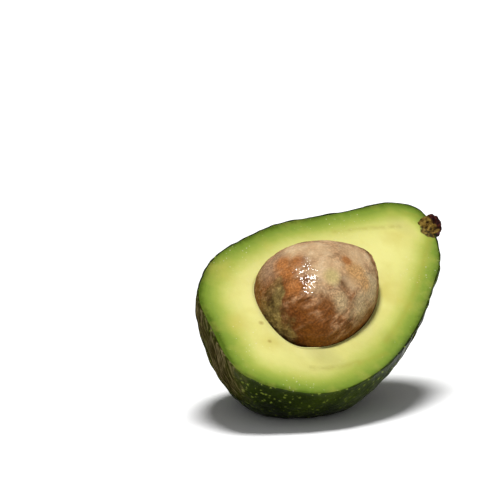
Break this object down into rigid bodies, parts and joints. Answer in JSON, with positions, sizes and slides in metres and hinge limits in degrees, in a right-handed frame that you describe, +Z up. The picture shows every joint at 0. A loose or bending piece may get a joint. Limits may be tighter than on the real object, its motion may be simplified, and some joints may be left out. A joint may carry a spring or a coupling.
{
  "type": "avocado half",
  "caption": "Half an avocado, cut lengthwise, with its stone still in the hollow of the flesh, a pebbled peel and a stub of stalk.",
  "frame": {"origin": "the middle of the small flat spot on the rounded back that the half rests on", "axes": "+Z up; -Y towards the side that the cut face leans to; the stalk end points up between +X and +Y"},
  "size_m": [0.086, 0.0935, 0.0584],
  "materials": {
    "peel": "glossy, finely pebbled dark green skin with pale speckles",
    "flesh": "moist, buttery cut flesh, pale yellow at the stone and green under the peel",
    "stone": "smooth, damp brown stone with remains of its papery coat",
    "stalk_stub": "dry, dark bark with a paler cut face"
  },
  "bodies": {
    "root": {"peel": "peel", "flesh": "flesh", "stone": "stone", "stalk_stub": "stalk_stub"}
  },
  "joints": []
}
